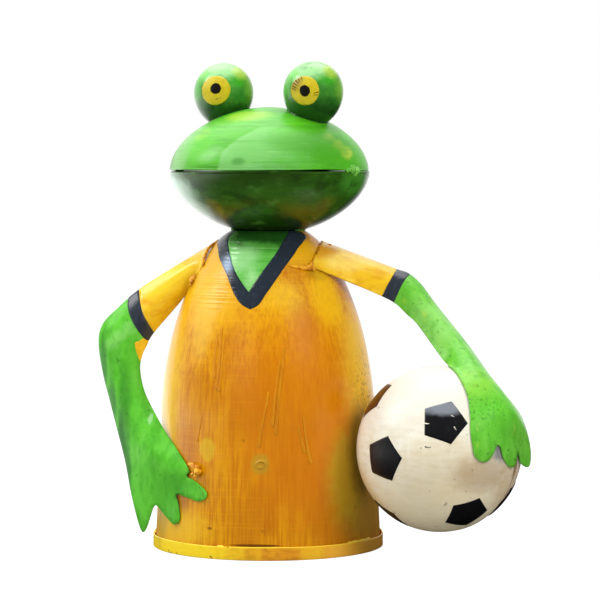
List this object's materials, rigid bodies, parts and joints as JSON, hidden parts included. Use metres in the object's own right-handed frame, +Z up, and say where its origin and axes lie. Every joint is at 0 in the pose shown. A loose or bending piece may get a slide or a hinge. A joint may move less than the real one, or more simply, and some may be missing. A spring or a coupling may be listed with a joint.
{
  "type": "painted sheet-metal frog figure with a football",
  "caption": "Free-standing hand-painted sheet-metal frog goalkeeper with a hollow bell body, ball eyes and a football held under one arm.",
  "frame": {"origin": "centre of the flat underside of the foot hoop, on the axis of the bell-shaped body", "axes": "+Z up along the body's axis, -Y the way the frog faces, +X the frog's left, towards its ball"},
  "size_m": [0.2091, 0.1143, 0.2317],
  "materials": {
    "body_paint": "semi-gloss hand-brushed orange-yellow paint with streaks and drips",
    "hoop_paint": "semi-gloss hand-brushed yellow paint, worn at the edge",
    "frog_green": "semi-gloss hand-brushed bright green paint",
    "jaw_green": "semi-gloss hand-brushed dark green paint",
    "eye_green": "glossy hand-brushed dark green paint",
    "arm_green": "semi-gloss hand-brushed green paint",
    "sleeve_yellow": "semi-gloss hand-brushed yellow-orange paint",
    "cuff_blue": "semi-gloss dark blue-grey paint",
    "collar_black": "semi-gloss black paint",
    "iris_yellow": "semi-gloss yellow paint",
    "pupil_black": "glossy black paint",
    "ball_cream": "satin hand-brushed cream paint",
    "patch_black": "satin black paint",
    "weld_metal": "lumpy weld metal under thin paint"
  },
  "bodies": {
    "root": {"body_shell": "body_paint", "base_hoop": "hoop_paint", "hoop_welds": "hoop_paint", "neck_welds": "frog_green", "head_lower_bowl": "jaw_green", "head_upper_bowl": "frog_green", "mouth_weld_right": "weld_metal", "mouth_weld_left": "weld_metal", "right_eye_upper_cup": "eye_green", "right_eye_lower_cup": "eye_green", "right_eye_weld": "eye_green", "left_eye_upper_cup": "eye_green", "left_eye_lower_cup": "eye_green", "left_eye_weld": "eye_green", "right_arm": "arm_green", "right_shoulder_weld": "body_paint", "hip_weld": "weld_metal", "left_arm": "arm_green", "left_shoulder_weld": "body_paint", "shoulder_spur": "body_paint", "ball_front_half": "ball_cream", "ball_rear_half": "ball_cream", "ball_side_weld": "weld_metal", "ball_hand_weld": "arm_green"}
  },
  "joints": []
}
